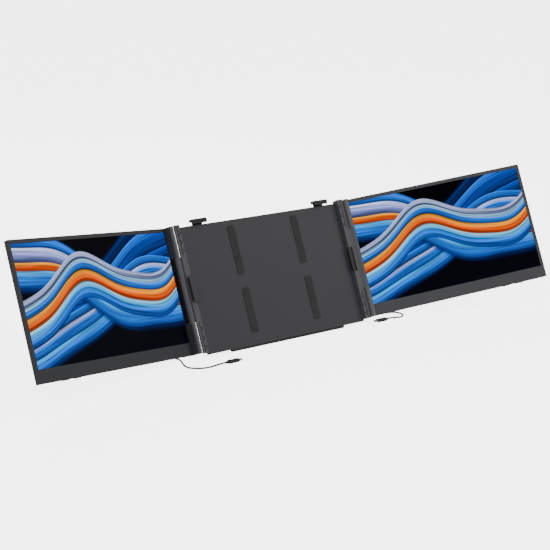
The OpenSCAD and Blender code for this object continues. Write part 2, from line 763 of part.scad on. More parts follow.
module push_button(side, x)
  color("#242527") on_hinge(side) translate([x, button_y, screen_z0]) {
    top = board_z0 - press - 0.1 - screen_z0;
    shelf = wall_t + 0.2;
    block([-button_l / 2, -button_w / 2, -button_out], [button_l / 2, button_w / 2, shelf]);
    block([-button_l / 2 - 1, -button_w / 2 - 0.8, shelf],
          [button_l / 2 + 1, button_w / 2 + 0.8, shelf + 0.8]);
    block([-1, -0.9, shelf + 0.8], [1, 0.9, top]);
  }

module left_power_button() push_button(0, button_x[0]);
module left_menu_button() push_button(0, button_x[1]);
module right_power_button() push_button(1, button_x[0]);
module right_menu_button() push_button(1, button_x[1]);

module cover_screws(side)
  color("#1d1d1f") on_hinge(side)
    for (x = screw_x) screw(x, screw_z, glass_y + 1, screen_y1);

module left_cover_screws() cover_screws(0);
module right_cover_screws() cover_screws(1);

// ---------------------------------------------------------------- plugs and cords

// Right-angled plug in a screen's inner socket, its cord leaving away from the hinge
module screen_plug(side)
  color("#1b1b1d") on_hinge(side) translate([socket_x[0], plug_y, bay_top_z - 0.3]) {
    round_plate(-plug_back, plug_front, -plug_h, 0, -plug_t / 2, plug_t / 2, 2.5);
    translate([plug_front, 0, cord_z - bay_top_z + 0.3]) rotate([0, 90, 0])
      cylinder(h = relief_l, r1 = relief_r, r2 = cord_d / 2 + 0.2);
  }

module left_screen_plug() screen_plug(0);
module right_screen_plug() screen_plug(1);

module screen_plug_shell(side)
  color("#c3c5c9") on_hinge(side)
    translate([socket_x[0], plug_y, bay_top_z - 0.3]) flat_tube(shell_w, shell_h, shell_l, 0.3);

module left_screen_plug_shell() screen_plug_shell(0);
module right_screen_plug_shell() screen_plug_shell(1);

// Straight plug lying on the desk, from its cord's end towards its own tip
module on_plug(side) {
  r = cord_route(side);
  translate([r[len(r) - 1][0], r[len(r) - 1][1], plug_t / 2])
    rotate([0, side == 0 ? 90 : -90, 0]) rotate([0, 0, 90]) children();
}

module laptop_plug(side)
  color("#1b1b1d") on_plug(side) {
    cylinder(h = relief_l, r1 = cord_d / 2 + 0.2, r2 = relief_r);
    translate([0, 0, relief_l]) flat_bar(plug_h, plug_t, plug_l);
  }

module left_laptop_plug() laptop_plug(0);
module right_laptop_plug() laptop_plug(1);

module laptop_plug_shell(side)
  color("#c3c5c9") on_plug(side)
    translate([0, 0, relief_l + plug_l]) flat_tube(shell_w, shell_h, shell_l, 0.3);

module left_laptop_plug_shell() laptop_plug_shell(0);
module right_laptop_plug_shell() laptop_plug_shell(1);

// A screen's point on the desk's own axes
function hung(side, p) =
  let (a = side == 0 ? left_angle : right_angle,
       x = hinge_x + p[0] * cos(a) + p[1] * sin(a),
       q = desk(axis_y(side) - p[0] * sin(a) + p[1] * cos(a), p[2]))
  [side == 0 ? -x : x, q[0], q[1]];

// Middle line of each cord: out of the screen's plug, round on the desk behind the screen,
// forward under the screen and round to the laptop's plug
cord_start = [[0, 0, 0], [2, 0, 0], [4, 0, 0], [6.6, 0.4, 0.1], [9, 1.7, 0.2], [10.8, 3.8, 0.3],
              [11.8, 6.4, 0.3], [12.2, 9.4, 0.4]];
desk_left = [[-256.4, 4.1, 11.5], [-257.4, 8.5, 9.6], [-257.4, 13.5, 7.6], [-256.2, 18.8, 5.6],
             [-253.5, 23.9, 3.8], [-249.2, 28, 2.6], [-243.8, 30.8, 1.9], [-237.6, 31.8, 1.6],
             [-231.4, 30.7, 1.5], [-226, 27.5, 1.5], [-221.8, 22.7, 1.5], [-219.1, 17, 1.5],
             [-218.1, 10.8, 1.5], [-218.6, 4.5, 1.5], [-220, -1.7, 1.5], [-222, -7.8, 1.5],
             [-224, -13.9, 1.5], [-225.6, -20.1, 1.5], [-226.2, -26.4, 1.5], [-225.2, -32.6, 1.5],
             [-222.3, -38.2, 1.5], [-217.8, -42.9, 1.5], [-212.3, -46.6, 1.5], [-206.1, -49.2, 1.5],
             [-199.4, -50.6, 1.5], [-192.6, -51, 1.6], [-185.6, -50.8, 1.9], [-178.4, -50.3, 2.4],
             [-170, -50, 2.8], [-167, -50, 2.8], [-164, -50, 2.8]];
desk_right = [[256.5, -4, 15.1], [257.7, 0.3, 13.2], [257.9, 5.3, 11.1], [257.4, 10.9, 8.9],
              [256.4, 16.7, 6.7], [254.6, 22.4, 4.9], [251.5, 27.7, 3.4], [246.6, 31.9, 2.3],
              [240.5, 33.9, 1.7], [234.6, 32.5, 1.5], [231.3, 27.9, 1.5], [232, 22.4, 1.5],
              [236.5, 19.1, 1.5], [242.3, 18.7, 1.5], [248, 17.7, 1.5], [252.6, 14.2, 1.5],
              [255.7, 9, 1.5], [257, 3.1, 1.5], [256.5, -2.9, 1.5], [254.1, -8.5, 1.5],
              [250, -12.8, 1.5], [244.7, -14.9, 1.5], [238.9, -14.5, 1.5], [233.3, -13.2, 1.8],
              [227.5, -12.2, 2.3], [221.6, -12, 2.7], [218.6, -12, 2.8], [216, -12, 2.8]];
function cord_route(side) = concat(
  [for (q = cord_start)
     hung(side, [socket_x[0] + plug_front + relief_l + q[0], plug_y + q[1], cord_z + q[2]])],
  side == 0 ? desk_left : desk_right);

// Smooth line through the points p, with n steps between neighbours
function smooth(p, n) =
  let (e = len(p) - 1)
  concat([for (i = [0 : e - 1], j = [0 : n - 1])
            let (t = j / n, a = p[max(i - 1, 0)], b = p[i], c = p[i + 1], d = p[min(i + 2, e)])
            (2 * b + t * (c - a) + t * t * (2 * a - 5 * b + 4 * c - d)
             + t * t * t * (3 * b - a - 3 * c + d)) / 2], [p[e]]);

function unit(v) = v / norm(v);

// Round tube of eight sides along the line p
module tube(p, d) {
  n = 8;
  e = len(p) - 1;
  rings = [for (i = [0 : e])
    let (t = unit(p[min(i + 1, e)] - p[max(i - 1, 0)]), u = unit(cross(t, [0, 0, 1])),
         w = cross(u, t))
    for (k = [0 : n - 1]) p[i] + d / 2 * (cos(360 * k / n) * u + sin(360 * k / n) * w)];
  polyhedron(rings, concat(
    [[for (k = [0 : n - 1]) k]],
    [for (i = [0 : e - 1], k = [0 : n - 1])
       [i * n + k, (i + 1) * n + k, (i + 1) * n + (k + 1) % n, i * n + (k + 1) % n]],
    [[for (k = [n - 1 : -1 : 0]) e * n + k]]));
}

module left_cord() color("#222224") tube(smooth(cord_route(0), 2), cord_d);
module right_cord() color("#222224") tube(smooth(cord_route(1), 2), cord_d);

// ---------------------------------------------------------------- assembly

frame_tray();
frame_rear_cover();
left_post();
right_post();
frame_pads();
frame_screws();
foot_strip();
left_top_clip();
right_top_clip();
left_side_clamp();
right_side_clamp();
left_clip_spring();
right_clip_spring();
left_clamp_spring();
right_clamp_spring();
kickstand();
kickstand_pins();
kickstand_tip();
left_hinge_bushings();
right_hinge_bushings();
left_rear_cover();
left_port_bay();
left_inner_ribs();
left_front_bezel();
left_display_glass();
left_backlight();
left_driver_board();
left_usb_sockets();
left_power_button();
left_menu_button();
left_hinge_pins();
left_cover_screws();
right_rear_cover();
right_port_bay();
right_inner_ribs();
right_front_bezel();
right_display_glass();
right_backlight();
right_driver_board();
right_usb_sockets();
right_power_button();
right_menu_button();
right_hinge_pins();
right_cover_screws();
left_cord();
left_screen_plug();
left_screen_plug_shell();
left_laptop_plug();
left_laptop_plug_shell();
right_cord();
right_screen_plug();
right_screen_plug_shell();
right_laptop_plug();
right_laptop_plug_shell();
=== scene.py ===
import json
import math

import bpy
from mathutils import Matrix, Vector


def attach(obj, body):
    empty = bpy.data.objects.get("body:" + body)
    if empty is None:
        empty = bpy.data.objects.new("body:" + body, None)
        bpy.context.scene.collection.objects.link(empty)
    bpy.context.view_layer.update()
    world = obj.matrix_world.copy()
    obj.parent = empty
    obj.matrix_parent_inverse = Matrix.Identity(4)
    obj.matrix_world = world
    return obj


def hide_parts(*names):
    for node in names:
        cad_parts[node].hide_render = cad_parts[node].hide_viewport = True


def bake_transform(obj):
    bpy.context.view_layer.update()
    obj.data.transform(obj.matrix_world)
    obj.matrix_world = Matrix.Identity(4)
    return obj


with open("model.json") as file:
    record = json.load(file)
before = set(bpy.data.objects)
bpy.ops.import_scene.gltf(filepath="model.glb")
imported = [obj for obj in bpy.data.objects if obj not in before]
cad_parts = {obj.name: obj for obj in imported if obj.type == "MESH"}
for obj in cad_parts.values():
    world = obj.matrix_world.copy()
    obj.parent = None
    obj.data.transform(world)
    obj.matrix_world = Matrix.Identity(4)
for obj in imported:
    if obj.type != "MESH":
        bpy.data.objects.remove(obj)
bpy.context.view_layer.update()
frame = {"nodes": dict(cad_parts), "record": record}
nodes = frame["nodes"]

# ------------------------------------------------------------------ places
# The extender's own measures, in millimetres: the frame leans back, and each screen turns on its
# hinge. A screen's axes are x away from the hinge, y backwards and z up.
MM = 0.001
LEAN = math.radians(24.6)
STAND_Y, STAND_Z = -6.681, 20.347
HINGE_X = 183.7
HINGE_Y = {"left": 10.0, "right": 0.0}
ANGLE = {"left": math.radians(19.9), "right": math.radians(19.0)}
SIDES = ("left", "right")


def frame_point(x, y, z):
    """A point of the leaned frame, in the row frame, in metres."""
    return Vector((x, y * math.cos(LEAN) + z * math.sin(LEAN) + STAND_Y,
                   -y * math.sin(LEAN) + z * math.cos(LEAN) + STAND_Z)) * MM


def screen_point(side, x, y, z):
    """A point of a screen, in the row frame, in metres."""
    a = ANGLE[side]
    across = HINGE_X + x * math.cos(a) + y * math.sin(a)
    back = HINGE_Y[side] - x * math.sin(a) + y * math.cos(a)
    return frame_point(-across if side == "left" else across, back, z)


# ------------------------------------------------------------------ camera
# It stands where the photograph's camera stood, fitted to the corners of the two screens.
CAMERA_PLACE = (-1.27394, -1.82212, 0.74156)
CAMERA_TILT, CAMERA_TURN = math.radians(74.318), math.radians(-34.3375)
SENSOR_WIDTH, LENS, CLIP_END = 36, 86.675, 200

camera = bpy.data.objects.new("camera", bpy.data.cameras.new("camera"))
bpy.context.scene.collection.objects.link(camera)
camera.location = CAMERA_PLACE
camera.rotation_euler = (CAMERA_TILT, 0, CAMERA_TURN)
camera.data.sensor_width = SENSOR_WIDTH
camera.data.lens = LENS
camera.data.clip_end = CLIP_END
bpy.context.scene.camera = camera

# ------------------------------------------------------------------ materials
# Noise scales are in features for each metre, heights in metres.
NOISE_SPAN = (0.3, 0.7)
PATCHES, PATCH_VARY = 9, 0.12
GRAIN, GRAIN_DEPTH = 1400, 0.00002
CASING_SPECULAR = 0.3
BRUSH_ALONG, BRUSH_ACROSS, BRUSH_DEPTH = 60, 4000, 0.00001
GRADIENT_ROUGH = (0.42, 0.52)


class Nodes:
    """A material's nodes, made and joined in few words."""

    def __init__(self, name):
        self.mat = bpy.data.materials.new(name)
        self.mat.use_nodes = True
        self.tree = self.mat.node_tree
        self.shader = self.tree.nodes["Principled BSDF"]

    def put(self, socket, value):
        if isinstance(value, bpy.types.NodeSocket):
            self.tree.links.new(value, socket)
        else:
            socket.default_value = value

    def node(self, kind, inputs=(), **settings):
        made = self.tree.nodes.new(kind)
        for key, value in settings.items():
            setattr(made, key, value)
        for key, value in dict(inputs).items():
            self.put(made.inputs[key], value)
        return made

    def math(self, operation, a, b=0.0, c=0.0):
        return self.node("ShaderNodeMath", {0: a, 1: b, 2: c}, operation=operation).outputs[0]

    def between(self, value, low, high, to_low, to_high, smooth=False):
        return self.node("ShaderNodeMapRange", {"Value": value, "From Min": low, "From Max": high,
                                                "To Min": to_low, "To Max": to_high},
                         interpolation_type="SMOOTHSTEP" if smooth else "LINEAR").outputs[0]

    def mix(self, factor, a, b, blend="MIX"):
        made = self.node("ShaderNodeMix", data_type="RGBA", blend_type=blend)
        self.put(made.inputs[0], factor)
        self.put(made.inputs[6], a)
        self.put(made.inputs[7], b)
        return made.outputs[2]

    def noise(self, scale, detail, vector=None, rough=0.5):
        vector = vector or self.node("ShaderNodeTexCoord").outputs["Object"]
        return self.node("ShaderNodeTexNoise", {"Vector": vector, "Scale": scale,
                                                "Detail": detail, "Roughness": rough}).outputs[0]

    def ramp(self, value, stops):
        made = self.node("ShaderNodeValToRGB", {"Fac": value})
        ramp = made.color_ramp
        while len(ramp.elements) < len(stops):
            ramp.elements.new(1.0)
        for element, (place, colour) in zip(ramp.elements, stops):
            element.position = place
        for element, (place, colour) in zip(ramp.elements, stops):
            element.color = colour if len(colour) == 4 else (*colour, 1)
        return made.outputs

    def bump(self, height, distance, strength):
        made = self.node("ShaderNodeBump", {"Height": height, "Distance": distance,
                                            "Strength": strength})
        self.put(self.shader.inputs["Normal"], made.outputs[0])

    def set(self, **inputs):
        for key, value in inputs.items():
            self.put(self.shader.inputs[key.replace("_", " ")], value)


def moulded(name, rgb, rough):
    """Spark-eroded plastic: a fine grain, with faint larger patches in tone and gloss."""
    n = Nodes(name)
    n.set(Specular_IOR_Level=CASING_SPECULAR)
    patches = n.noise(PATCHES, 3)
    light = [min(1, c * (1 + PATCH_VARY)) for c in rgb] + [1]
    dark = [c * (1 - PATCH_VARY) for c in rgb] + [1]
    n.set(Base_Color=n.mix(patches, dark, light),
          Roughness=n.between(patches, *NOISE_SPAN, rough - 0.05, rough + 0.06))
    n.bump(n.noise(GRAIN, 1), GRAIN_DEPTH, 0.6)
    return n.mat


def painted_light_towards_hinge(name, far, near, x_far, x_near):
    """Moulded casing with painted light: its tone turns from near to far between two distances from
    the middle, the near tone lit up over the hinge knuckles.
    """
    n = Nodes(name)
    n.set(Specular_IOR_Level=CASING_SPECULAR)
    where = n.node("ShaderNodeSeparateXYZ", {0: n.node("ShaderNodeTexCoord").outputs["Object"]})
    across = n.between(n.math("ABSOLUTE", where.outputs[0]), x_near, x_far, 0, 1, smooth=True)
    patches = n.noise(PATCHES, 3)
    tone = n.mix(across, (*near, 1), (*far, 1))
    n.set(Base_Color=n.mix(patches, n.mix(PATCH_VARY, tone, (0, 0, 0, 1)), tone),
          Roughness=n.between(patches, *NOISE_SPAN, *GRADIENT_ROUGH))
    n.bump(n.noise(GRAIN, 1), GRAIN_DEPTH, 0.6)
    return n.mat


def metal(name, rgb, rough, along="Z"):
    """Brushed or turned metal, with its fine lines along one axis."""
    n = Nodes(name)
    where = n.node("ShaderNodeTexCoord").outputs["Object"]
    stretch = [BRUSH_ALONG if axis == along else BRUSH_ACROSS for axis in "XYZ"]
    lines = n.noise(1, 2, n.node("ShaderNodeVectorMath", {0: where, 1: stretch},
                                 operation="MULTIPLY").outputs[0])
    n.set(Metallic=1, Base_Color=n.mix(lines, [c * 0.86 for c in rgb] + [1], [*rgb, 1]),
          Roughness=n.between(lines, *NOISE_SPAN, rough - 0.06, rough + 0.08))
    n.bump(lines, BRUSH_DEPTH, 0.4)
    return n.mat


def rubber(name, rgb):
    """Matt rubber with a coarse, dusty skin."""
    n = Nodes(name)
    cloud = n.noise(40, 4)
    dark, light = [c * 0.8 for c in rgb] + [1], [min(1, c * 1.3) for c in rgb] + [1]
    n.set(Base_Color=n.mix(cloud, dark, light),
          Roughness=n.between(cloud, *NOISE_SPAN, 0.72, 0.9))
    n.bump(n.noise(2600, 2), 0.00004, 0.7)
    return n.mat


def circuit_board(name):
    """Green solder mask with a net of lighter tracks."""
    n = Nodes(name)
    where = n.node("ShaderNodeTexCoord").outputs["Object"]
    cells = n.node("ShaderNodeTexVoronoi", {"Vector": where, "Scale": 420},
                   distance="MANHATTAN", feature="DISTANCE_TO_EDGE").outputs[0]
    tracks = n.between(cells, 0.04, 0.08, 1, 0)
    n.set(Base_Color=n.mix(tracks, (0.012, 0.1, 0.045, 1), (0.05, 0.24, 0.11, 1)),
          Roughness=n.between(tracks, 0, 1, 0.32, 0.42))
    n.bump(tracks, 0.00003, 0.5)
    return n.mat


def braid(name):
    """Woven sleeve: two families of slanted strands, over and under."""
    n = Nodes(name)
    uv = n.node("ShaderNodeSeparateXYZ", {0: n.node("ShaderNodeTexCoord").outputs["UV"]})
    turn = n.math("MULTIPLY", uv.outputs[0], 4.0)
    run = n.math("MULTIPLY", uv.outputs[1], 2.4)
    one = n.math("SINE", n.math("MULTIPLY", n.math("ADD", turn, run), 2 * math.pi))
    two = n.math("SINE", n.math("MULTIPLY", n.math("SUBTRACT", turn, run), 2 * math.pi))
    weave = n.between(n.math("MULTIPLY", one, two), -0.5, 0.5, 0, 1, smooth=True)
    n.set(Base_Color=n.mix(weave, (0.006, 0.006, 0.007, 1), (0.075, 0.075, 0.08, 1)),
          Roughness=n.between(weave, 0, 1, 0.75, 0.5))
    n.bump(weave, 0.00015, 0.8)
    return n.mat


def diffuser(name):
    """Backlight tray: pale films with a fine dot pattern."""
    n = Nodes(name)
    where = n.node("ShaderNodeTexCoord").outputs["Object"]
    dots = n.node("ShaderNodeTexVoronoi", {"Vector": where, "Scale": 700}).outputs[0]
    n.set(Base_Color=n.mix(n.between(dots, 0.2, 0.5, 0, 1), (0.82, 0.84, 0.86, 1),
                           (0.66, 0.68, 0.7, 1)), Roughness=n.between(dots, 0, 1, 0.3, 0.45))
    return n.mat


def glossy_black(name):
    """The panel's border under its front sheet."""
    n = Nodes(name)
    haze = n.noise(30, 3)
    n.set(Base_Color=n.mix(haze, (0.002, 0.002, 0.003, 1), (0.006, 0.006, 0.008, 1)),
          Roughness=n.between(haze, *NOISE_SPAN, 0.16, 0.24), Specular_IOR_Level=0.12)
    return n.mat


CLEAR, NIGHT = (0, 0, 0, 0), (0.001, 0.006, 0.04)
NAVY, BLUE, AZURE = (0.002, 0.02, 0.14), (0.003, 0.07, 0.5), (0.01, 0.2, 0.95)
SKY, ICE = (0.05, 0.5, 1), (0.42, 0.85, 1)
LILAC, PEARL = (0.26, 0.32, 0.8), (0.55, 0.62, 0.95)
RUST, FLAME, AMBER, GOLD = (0.12, 0.012, 0), (0.9, 0.09, 0), (1, 0.26, 0), (1, 0.42, 0.01)
GROUND = (0.0008, 0.001, 0.003, 1), (0.0003, 0.0003, 0.0006, 1)
PICTURE_GLOW = 1.5
# The silk sheets from the rearmost on: how much each one climbs across the picture, its waves
# (how many, where they start, how high), its colours from its lower edge up, how many threads it
# has and where their pattern starts. A colour's fourth number is how far it covers.
SHEETS = [
    (-0.55, [(0.7, 0.05, 0.09), (1.9, 0.3, 0.025)],
     [(0, CLEAR), (0.02, (*NIGHT, 0)), (0.08, NIGHT), (0.2, NAVY), (0.27, BLUE), (0.275, NIGHT),
      (0.4, BLUE), (0.47, AZURE), (0.475, NIGHT), (0.56, NAVY), (0.6, (*NIGHT, 0))], 60, 1.3),
    (-0.42, [(0.8, 0.15, 0.1), (1.7, 0.4, 0.03)],
     [(0, CLEAR), (0.02, (*NAVY, 0)), (0.05, NAVY), (0.12, AZURE), (0.16, SKY), (0.164, NAVY),
      (0.23, AZURE), (0.27, PEARL), (0.274, NIGHT), (0.34, AZURE), (0.345, (*NAVY, 0))], 44, 3.1),
    (0.36, [(0.9, 0.62, 0.12), (2.1, 0.1, 0.025)],
     [(0, CLEAR), (0.52, (*NIGHT, 0)), (0.57, NAVY), (0.66, AZURE), (0.71, SKY), (0.713, RUST),
      (0.75, FLAME), (0.78, GOLD), (0.783, NIGHT), (0.85, LILAC), (0.9, PEARL), (0.903, NAVY),
      (0.98, AZURE), (1.0, (*NAVY, 0))], 52, 7.7),
    (-0.16, [(1.15, 0.3, 0.15), (2.6, 0.75, 0.022)],
     [(0, CLEAR), (0.27, (*NIGHT, 0)), (0.275, NAVY), (0.34, AZURE), (0.385, SKY), (0.41, ICE),
      (0.413, RUST), (0.455, FLAME), (0.485, AMBER), (0.51, GOLD), (0.513, NIGHT), (0.56, AZURE),
      (0.6, ICE), (0.603, NAVY), (0.66, PEARL), (0.664, (*BLUE, 0))], 60, 5.3),
]


def wave_picture(name):
    """Lit picture: sheets of silk that flow across a black ground, in blues with one orange."""
    n = Nodes(name)
    uv = n.node("ShaderNodeSeparateXYZ", {0: n.node("ShaderNodeTexCoord").outputs["UV"]})
    u, v = uv.outputs[0], uv.outputs[1]
    picture = n.mix(v, *GROUND)
    for climb, waves, stops, threads, seed in SHEETS:
        place = n.math("MULTIPLY_ADD", u, climb, v)
        for times, phase, height in waves:
            angle = n.math("MULTIPLY_ADD", u, 2 * math.pi * times, 2 * math.pi * phase)
            place = n.math("ADD", place, n.math("MULTIPLY", n.math("SINE", angle), height))
        colour, alpha = n.ramp(place, stops)[:2]
        at = n.node("ShaderNodeCombineXYZ", {0: n.math("MULTIPLY", u, 2.2),
                                             1: n.math("MULTIPLY", place, threads), 2: seed})
        light = n.between(n.noise(1, 3, at.outputs[0], 0.6), 0.32, 0.68, 0.2, 1.25)
        grey = n.node("ShaderNodeCombineColor", {k: light for k in ("Red", "Green", "Blue")})
        picture = n.mix(alpha, picture, n.mix(1.0, colour, grey.outputs[0], "MULTIPLY"))
    n.set(Base_Color=(0.001, 0.001, 0.0015, 1), Roughness=0.2, Specular_IOR_Level=0.012,
          Emission_Color=picture, Emission_Strength=PICTURE_GLOW)
    return n.mat


LOOKS = {
    "casing_grey": moulded("casing grey", (0.036, 0.036, 0.039), 0.5),
    "bezel_grey": moulded("bezel grey", (0.05, 0.051, 0.054), 0.46),
    "post_grey": moulded("post grey", (0.066, 0.067, 0.07), 0.42),
    "cover_grey": moulded("cover grey", (0.03, 0.03, 0.032), 0.55),
    "clip_black": moulded("clip black", (0.005, 0.005, 0.006), 0.45),
    "clamp_grey": moulded("clamp grey", (0.032, 0.033, 0.035), 0.42),
    "display": glossy_black("panel border"),
    "backlight": diffuser("backlight films"),
    "board_green": circuit_board("circuit board"),
    "steel": metal("turned steel", (0.62, 0.62, 0.64), 0.3),
    "screw_black": metal("blackened screws", (0.06, 0.06, 0.065), 0.42, "Y"),
    "brass": metal("brass", (0.72, 0.5, 0.2), 0.3),
    "rubber_black": rubber("black rubber", (0.016, 0.016, 0.017)),
    "button_black": moulded("button black", (0.022, 0.022, 0.024), 0.38),
    "plug_black": moulded("plug black", (0.02, 0.02, 0.022), 0.45),
    "plug_steel": metal("plug steel", (0.7, 0.7, 0.72), 0.25, "X"),
    "cord_black": braid("woven sleeve"),
}
# Pieces painted a tone away from their slot's usual one, as painted light and shade
PAINTED_LIGHT_TONES = {
    # painted shade: the left bezel is darker because the left screen catches less of the light
    "left_front_bezel": moulded("left bezel grey", (0.02, 0.021, 0.023), 0.5),
    # painted light: the rear covers turn lighter over their hinge knuckles, towards the middle
    "left_rear_cover": painted_light_towards_hinge("left casing", (0.036, 0.036, 0.039), (0.12, 0.12, 0.125),
                                     0.1885, 0.1795),
    "right_rear_cover": painted_light_towards_hinge("right casing", (0.036, 0.036, 0.039), (0.1, 0.1, 0.104),
                                      0.1935, 0.1885),
    # painted shade: the right clamp is darker than the left one, for the shade on its inner side
    "right_side_clamp": moulded("right clamp painted shade", (0.008, 0.008, 0.009), 0.4),
    # painted shade: near-black for the groove bottoms and the screw crosses
    "groove": moulded("groove shadow", (0.004, 0.004, 0.005), 0.7),
    "strip": moulded("painted shade strip", (0.005, 0.005, 0.006), 0.3),
}


def paint(obj, slot, tone=None):
    obj.data.materials.clear()
    obj.data.materials.append(PAINTED_LIGHT_TONES.get(tone or obj.name) or LOOKS[slot])


# ------------------------------------------------------------------ mesh helpers
TUBE_SIDES = 14


def mesh(name, points, faces, slot, body, uvs=None, smooth=False, tone=None):
    """A mesh piece that rides on a body, if one is given. uvs holds a pair for each face corner."""
    data = bpy.data.meshes.new(name)
    data.from_pydata([tuple(p) for p in points], [], faces)
    if uvs:
        layer = data.uv_layers.new(name="UVMap")
        for loop, pair in zip(layer.data, uvs):
            loop.uv = pair
    if smooth:
        for face in data.polygons:
            face.use_smooth = True
    data.update()
    made = bpy.data.objects.new(name, data)
    bpy.context.scene.collection.objects.link(made)
    if slot:
        paint(made, slot, tone)
    if body:
        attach(made, body)
    return made


def plates(name, place, outlines, y0, y1, slot, body, tone):
    """Thin plates from y0 back to y1, one for each convex outline of (x, z) pairs."""
    points, faces = [], []
    for outline in outlines:
        n, base = len(outline), len(points)
        points += [place(x, y, z) for y in (y0, y1) for x, z in outline]
        faces += [tuple(base + k for k in range(n)),
                  tuple(base + n + k for k in reversed(range(n)))]
        faces += [(base + k, base + n + k, base + n + (k + 1) % n, base + (k + 1) % n)
                  for k in range(n)]
    made = mesh(name, points, faces, slot, body, tone=tone)
    o, x, y, z = (place(*p) for p in ((0, 0, 0), (1, 0, 0), (0, 1, 0), (0, 0, 1)))
    if (x - o).cross(y - o).dot(z - o) < 0:
        made.data.flip_normals()


def bar(a, b, width):
    """Outline of a straight bar between two points."""
    along = (Vector(b) - Vector(a)).normalized()
    off = Vector((-along.y, along.x)) * width / 2
    return [tuple(Vector(a) - off), tuple(Vector(b) - off), tuple(Vector(b) + off),
            tuple(Vector(a) + off)]


def smooth_path(points, steps):
    """Catmull-Rom line through the points, the same as the CAD cords follow."""
    p = [Vector(q) for q in points]
    last = len(p) - 1
    line = []
    for i in range(last):
        a, b, c, d = p[max(i - 1, 0)], p[i], p[i + 1], p[min(i + 2, last)]
        for j in range(steps):
            t = j / steps
            line.append((2 * b + t * (c - a) + t * t * (2 * a - 5 * b + 4 * c - d)
                         + t ** 3 * (3 * b - a - 3 * c + d)) / 2)
    return line + [p[last]]


def tube(name, line, radius, slot):
    """A closed round tube along a line, with its run in v counted in its own girths."""
    rings, run, travelled, sides = [], [], 0.0, TUBE_SIDES
    side = Vector((0, 0, 1))
    for i, p in enumerate(line):
        along = (line[min(i + 1, len(line) - 1)] - line[max(i - 1, 0)]).normalized()
        side = (side - along * side.dot(along)).normalized()
        other = along.cross(side)
        travelled += (p - line[i - 1]).length if i else 0
        run.append(travelled / (2 * math.pi * radius))
        rings.append([p + radius * (math.cos(2 * math.pi * k / sides) * side
                                    + math.sin(2 * math.pi * k / sides) * other)
                      for k in range(sides)])
    points = [q for ring in rings for q in ring]
    faces, uvs = [], []
    for i in range(len(line) - 1):
        for k in range(sides):
            m = (k + 1) % sides
            faces.append((i * sides + k, i * sides + m, (i + 1) * sides + m, (i + 1) * sides + k))
            uvs += [(k / sides, run[i]), ((k + 1) / sides, run[i]),
                    ((k + 1) / sides, run[i + 1]), (k / sides, run[i + 1])]
    for ring, order in ((0, range(sides - 1, -1, -1)), (len(line) - 1, range(sides))):
        faces.append(tuple(ring * sides + k for k in order))
        uvs += [(0.5, run[ring])] * sides
    return mesh(name, points, faces, slot, None, uvs, smooth=True)


# ------------------------------------------------------------------ cords
# Middle lines in millimetres: out of the screen's plug in the screen's axes, counted from the
# exit, then down and over the desk in the row frame.
CORD_EXIT = (55, 14.75, -4.1)
CORD_START = [(0, 0, 0), (2, 0, 0), (4, 0, 0), (6.6, 0.4, 0.1), (9, 1.7, 0.2), (10.8, 3.8, 0.3),
              (11.8, 6.4, 0.3), (12.2, 9.4, 0.4)]
DESK = {
    "left": [(-256.4, 4.1, 11.5), (-257.4, 8.5, 9.6), (-257.4, 13.5, 7.6), (-256.2, 18.8, 5.6),
             (-253.5, 23.9, 3.8), (-249.2, 28, 2.6), (-243.8, 30.8, 1.9), (-237.6, 31.8, 1.6),
             (-231.4, 30.7, 1.5), (-226, 27.5, 1.5), (-221.8, 22.7, 1.5), (-219.1, 17, 1.5),
             (-218.1, 10.8, 1.5), (-218.6, 4.5, 1.5), (-220, -1.7, 1.5), (-222, -7.8, 1.5),
             (-224, -13.9, 1.5), (-225.6, -20.1, 1.5), (-226.2, -26.4, 1.5), (-225.2, -32.6, 1.5),
             (-222.3, -38.2, 1.5), (-217.8, -42.9, 1.5), (-212.3, -46.6, 1.5),
             (-206.1, -49.2, 1.5), (-199.4, -50.6, 1.5), (-192.6, -51, 1.6), (-185.6, -50.8, 1.9),
             (-178.4, -50.3, 2.4), (-170, -50, 2.8), (-167, -50, 2.8), (-164, -50, 2.8)],
    "right": [(256.5, -4, 15.1), (257.7, 0.3, 13.2), (257.9, 5.3, 11.1), (257.4, 10.9, 8.9),
              (256.4, 16.7, 6.7), (254.6, 22.4, 4.9), (251.5, 27.7, 3.4), (246.6, 31.9, 2.3),
              (240.5, 33.9, 1.7), (234.6, 32.5, 1.5), (231.3, 27.9, 1.5), (232, 22.4, 1.5),
              (236.5, 19.1, 1.5), (242.3, 18.7, 1.5), (248, 17.7, 1.5), (252.6, 14.2, 1.5),
              (255.7, 9, 1.5), (257, 3.1, 1.5), (256.5, -2.9, 1.5), (254.1, -8.5, 1.5),
              (250, -12.8, 1.5), (244.7, -14.9, 1.5), (238.9, -14.5, 1.5), (233.3, -13.2, 1.8),
              (227.5, -12.2, 2.3), (221.6, -12, 2.7), (218.6, -12, 2.8), (216, -12, 2.8)],
}
CORD_D = 3 * MM
CORD_STEPS = 4

for side in SIDES:
    start = [screen_point(side, *(a + b for a, b in zip(CORD_EXIT, q))) for q in CORD_START]
    line = smooth_path(start + [Vector(q) * MM for q in DESK[side]], CORD_STEPS)
    cord = tube(side + "_woven_cord", line, CORD_D / 2, "cord_black")
    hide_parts(side + "_cord")
    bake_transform(cord)

# ------------------------------------------------------------------ finishes of the CAD nodes
# the table of painted tones above puts painted light and shade on some nodes instead of their
# slot's look
for entry in frame["record"]["subparts"]:
    paint(nodes[entry["node"]], entry["material_slot"])

# ------------------------------------------------------------------ pictures on the screens
# A thin lit sheet lies on the front of each display's glass, a little in from its edges.
PICTURE_X, PICTURE_Z, PICTURE_INSET = (7.4, 351.6), (13.5, 207.1), 0.15
PICTURE_Y = (10.94, 10.99)
BOX_FACES = [(0, 1, 2, 3), (7, 6, 5, 4), (0, 4, 5, 1), (1, 5, 6, 2), (2, 6, 7, 3), (3, 7, 4, 0)]
SQUARE = [(0, 0), (1, 0), (1, 1), (0, 1)]

